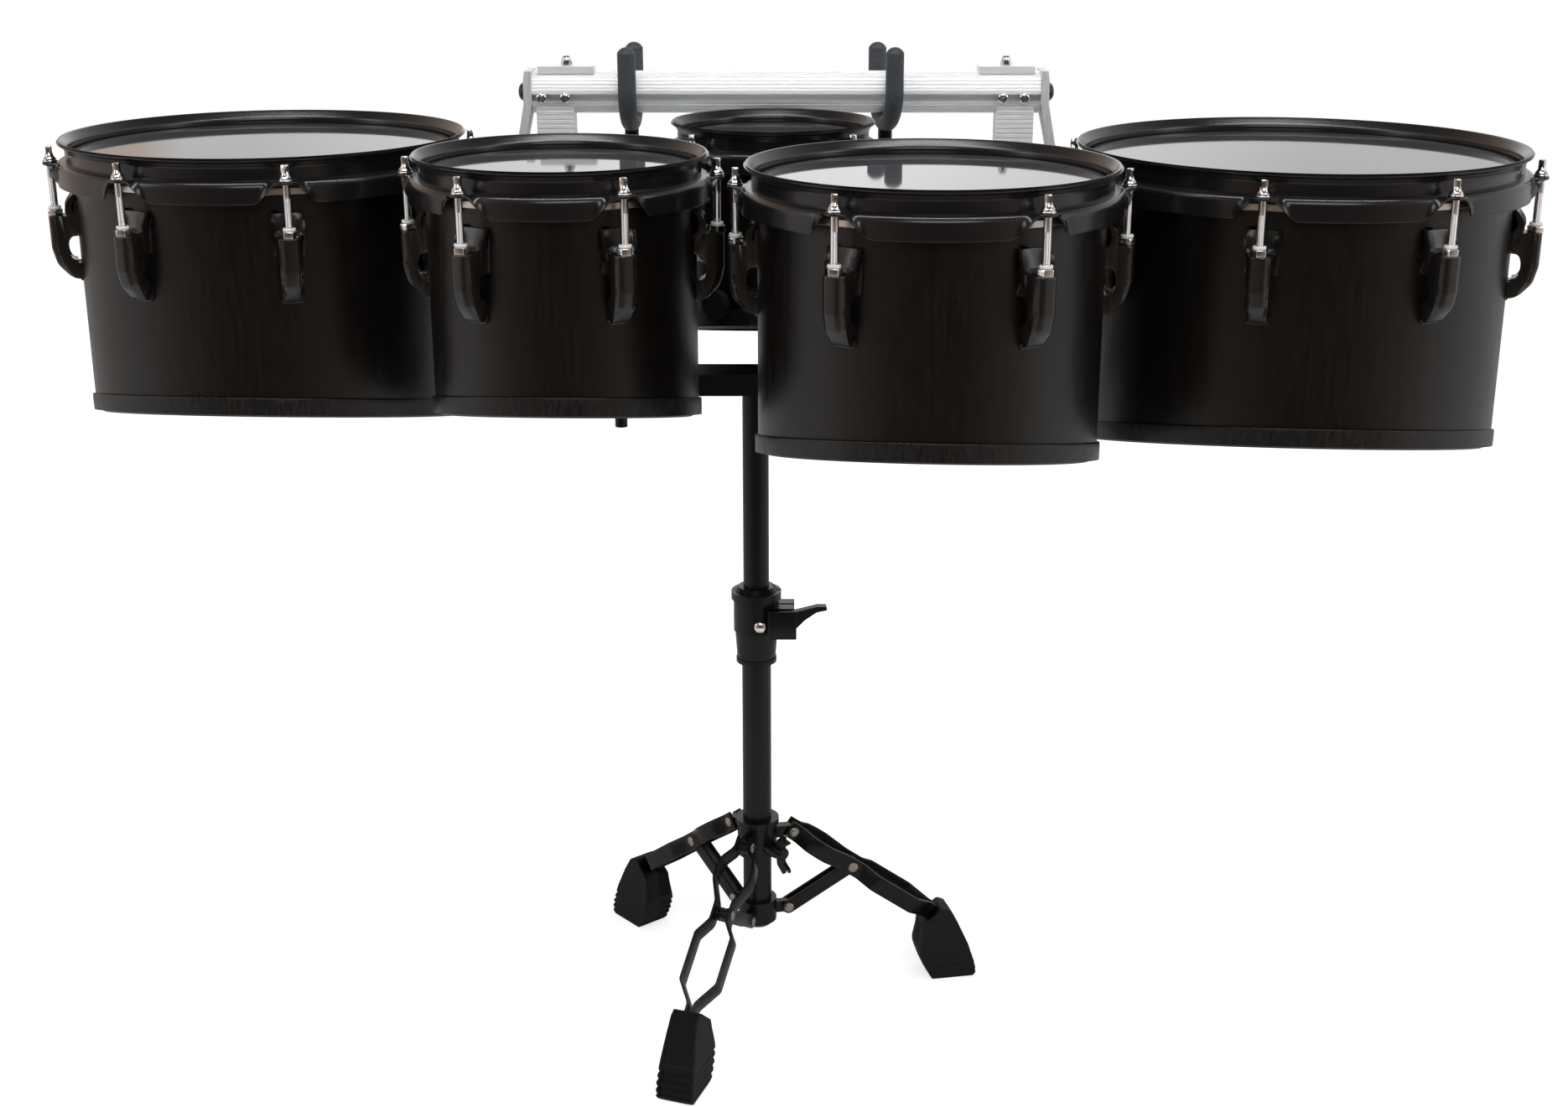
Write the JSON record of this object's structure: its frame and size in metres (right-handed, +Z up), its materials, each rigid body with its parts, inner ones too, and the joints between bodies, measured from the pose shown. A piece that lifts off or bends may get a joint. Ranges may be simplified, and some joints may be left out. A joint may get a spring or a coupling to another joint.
{
  "type": "marching tenor drums",
  "caption": "Set of cut-bottom marching tenor drums with black hoops and lugs, joined to an aluminium rail that hangs in rubber-covered hooks on a folding tripod stand.",
  "frame": {"origin": "on the floor, under the middle of the whole part's box; the pole stands 21 mm toward -X and 42 mm toward +Y of it", "axes": "+Z up, +X along the row of drums to the right as seen by the audience, -Y toward the audience"},
  "size_m": [1.1752, 0.5604, 0.8312],
  "materials": {
    "shell": "satin black lacquer on ply",
    "hoop": "satin black powder coat",
    "head": "smoky glossy film",
    "trim": "black ribbed edge guard",
    "lug": "satin black casting",
    "chrome": "bright plate",
    "nylon": "white nylon",
    "rail": "clear anodised",
    "plate": "brushed",
    "steel": "plain steel rivets",
    "black_bolt": "black oxide",
    "arm": "black anodised",
    "stand": "semi-gloss black",
    "sleeve": "blue-black rubber",
    "rubber": "matt black rubber"
  },
  "bodies": {
    "stand_base": {"lower_tube": "stand", "height_clamp": "stand", "clamp_screw": "chrome", "clamp_bolt": "steel", "lower_collar": "stand", "base_pins": "steel"},
    "lever": {"clamp_lever": "stand"},
    "mast": {"upper_tube": "stand", "crossbar": "stand", "rest_buffers": "rubber", "hook_wing_bolts": "stand"},
    "hooks": {"hook_rods": "stand", "hook_sleeves": "sleeve"},
    "drum_set": {"shell_six": "shell", "shell_eight": "shell", "shell_ten": "shell", "shell_twelve": "shell", "shell_thirteen": "shell", "hoop_six": "hoop", "hoop_eight": "hoop", "hoop_ten": "hoop", "hoop_twelve": "hoop", "hoop_thirteen": "hoop", "head_six": "head", "head_eight": "head", "head_ten": "head", "head_twelve": "head", "head_thirteen": "head", "edge_trims": "trim", "lugs": "lug", "tension_rods": "chrome", "rod_washers": "chrome", "lug_nuts": "chrome", "nylon_washers": "nylon", "lug_screws": "chrome", "rail": "rail", "rail_end_plates": "plate", "end_bolts": "black_bolt", "top_clamps": "rail", "clamp_studs": "chrome", "rail_screws": "chrome", "riser_blocks": "rail", "side_arms": "arm", "drum_brackets": "arm", "mount_plates": "arm", "spock_bracket": "arm", "spock_bumper": "rubber"},
    "leg_collar": {"upper_collar": "stand", "collar_pins": "steel"},
    "collar_wing": {"collar_wing_bolt": "stand"},
    "leg_front_set": {"leg_front": "stand", "foot_front": "rubber"},
    "leg_left_set": {"leg_left": "stand", "foot_left": "rubber"},
    "leg_right_set": {"leg_right": "stand", "foot_right": "rubber"},
    "brace_front_set": {"brace_front": "stand"},
    "brace_left_set": {"brace_left": "stand"},
    "brace_right_set": {"brace_right": "stand"}
  },
  "joints": [
    {"name": "lever_swing", "type": "hinge", "parent": "stand_base", "child": "lever", "pos_m": [0.00553, 0.02527, 0.3635], "axis": [0, 1, 0], "range_deg": [-75, 20]},
    {"name": "mast_height", "type": "slide", "parent": "stand_base", "child": "mast", "axis": [0, 0, 1], "range_m": [-0.09, 0.08]},
    {"name": "hook_height", "type": "slide", "parent": "mast", "child": "hooks", "axis": [0, 0, 1], "range_m": [-0.02, 0.02]},
    {"name": "drum_set_lift", "type": "slide", "parent": "hooks", "child": "drum_set", "axis": [0, 0, 1], "range_m": [0, 0.12]},
    {"name": "collar_slide", "type": "slide", "parent": "stand_base", "child": "leg_collar", "axis": [0, 0, 1], "range_m": [0, 0.036]},
    {"name": "collar_wing_turn", "type": "hinge", "parent": "leg_collar", "child": "collar_wing", "pos_m": [-0.0035, 0.02204, 0.149], "axis": [0.6428, -0.766, 0], "continuous": true},
    {"name": "leg_front_fold", "type": "hinge", "parent": "leg_collar", "child": "leg_front_set", "pos_m": [-0.03132, 0.01163, 0.1575], "axis": [0.9426, -0.3338, 0], "range_deg": [0, 20.4]},
    {"name": "brace_front_fold", "type": "hinge", "parent": "stand_base", "child": "brace_front_set", "pos_m": [-0.02982, 0.01587, 0.082], "axis": [0.9426, -0.3338, 0], "range_deg": [-21.4, 0]},
    {"name": "leg_left_fold", "type": "hinge", "parent": "leg_collar", "child": "leg_left_set", "pos_m": [-0.04158, 0.06698, 0.1575], "axis": [-0.7604, -0.6494, 0], "range_deg": [0, 20.4]},
    {"name": "brace_left_fold", "type": "hinge", "parent": "stand_base", "child": "brace_left_set", "pos_m": [-0.03866, 0.06356, 0.082], "axis": [-0.7604, -0.6494, 0], "range_deg": [-21.4, 0]},
    {"name": "leg_right_fold", "type": "hinge", "parent": "leg_collar", "child": "leg_right_set", "pos_m": [0.01149, 0.04819, 0.1575], "axis": [-0.1822, 0.9833, 0], "range_deg": [0, 20.4]},
    {"name": "brace_right_fold", "type": "hinge", "parent": "stand_base", "child": "brace_right_set", "pos_m": [0.00706, 0.04737, 0.082], "axis": [-0.1822, 0.9833, 0], "range_deg": [-21.4, 0]}
  ],
  "couplings": [
    {"joint": "leg_front_fold", "follows": "collar_slide", "rad_per_m": 9.758},
    {"joint": "brace_front_fold", "follows": "collar_slide", "rad_per_m": -10.232},
    {"joint": "leg_left_fold", "follows": "collar_slide", "rad_per_m": 9.758},
    {"joint": "brace_left_fold", "follows": "collar_slide", "rad_per_m": -10.232},
    {"joint": "leg_right_fold", "follows": "collar_slide", "rad_per_m": 9.758},
    {"joint": "brace_right_fold", "follows": "collar_slide", "rad_per_m": -10.232}
  ]
}
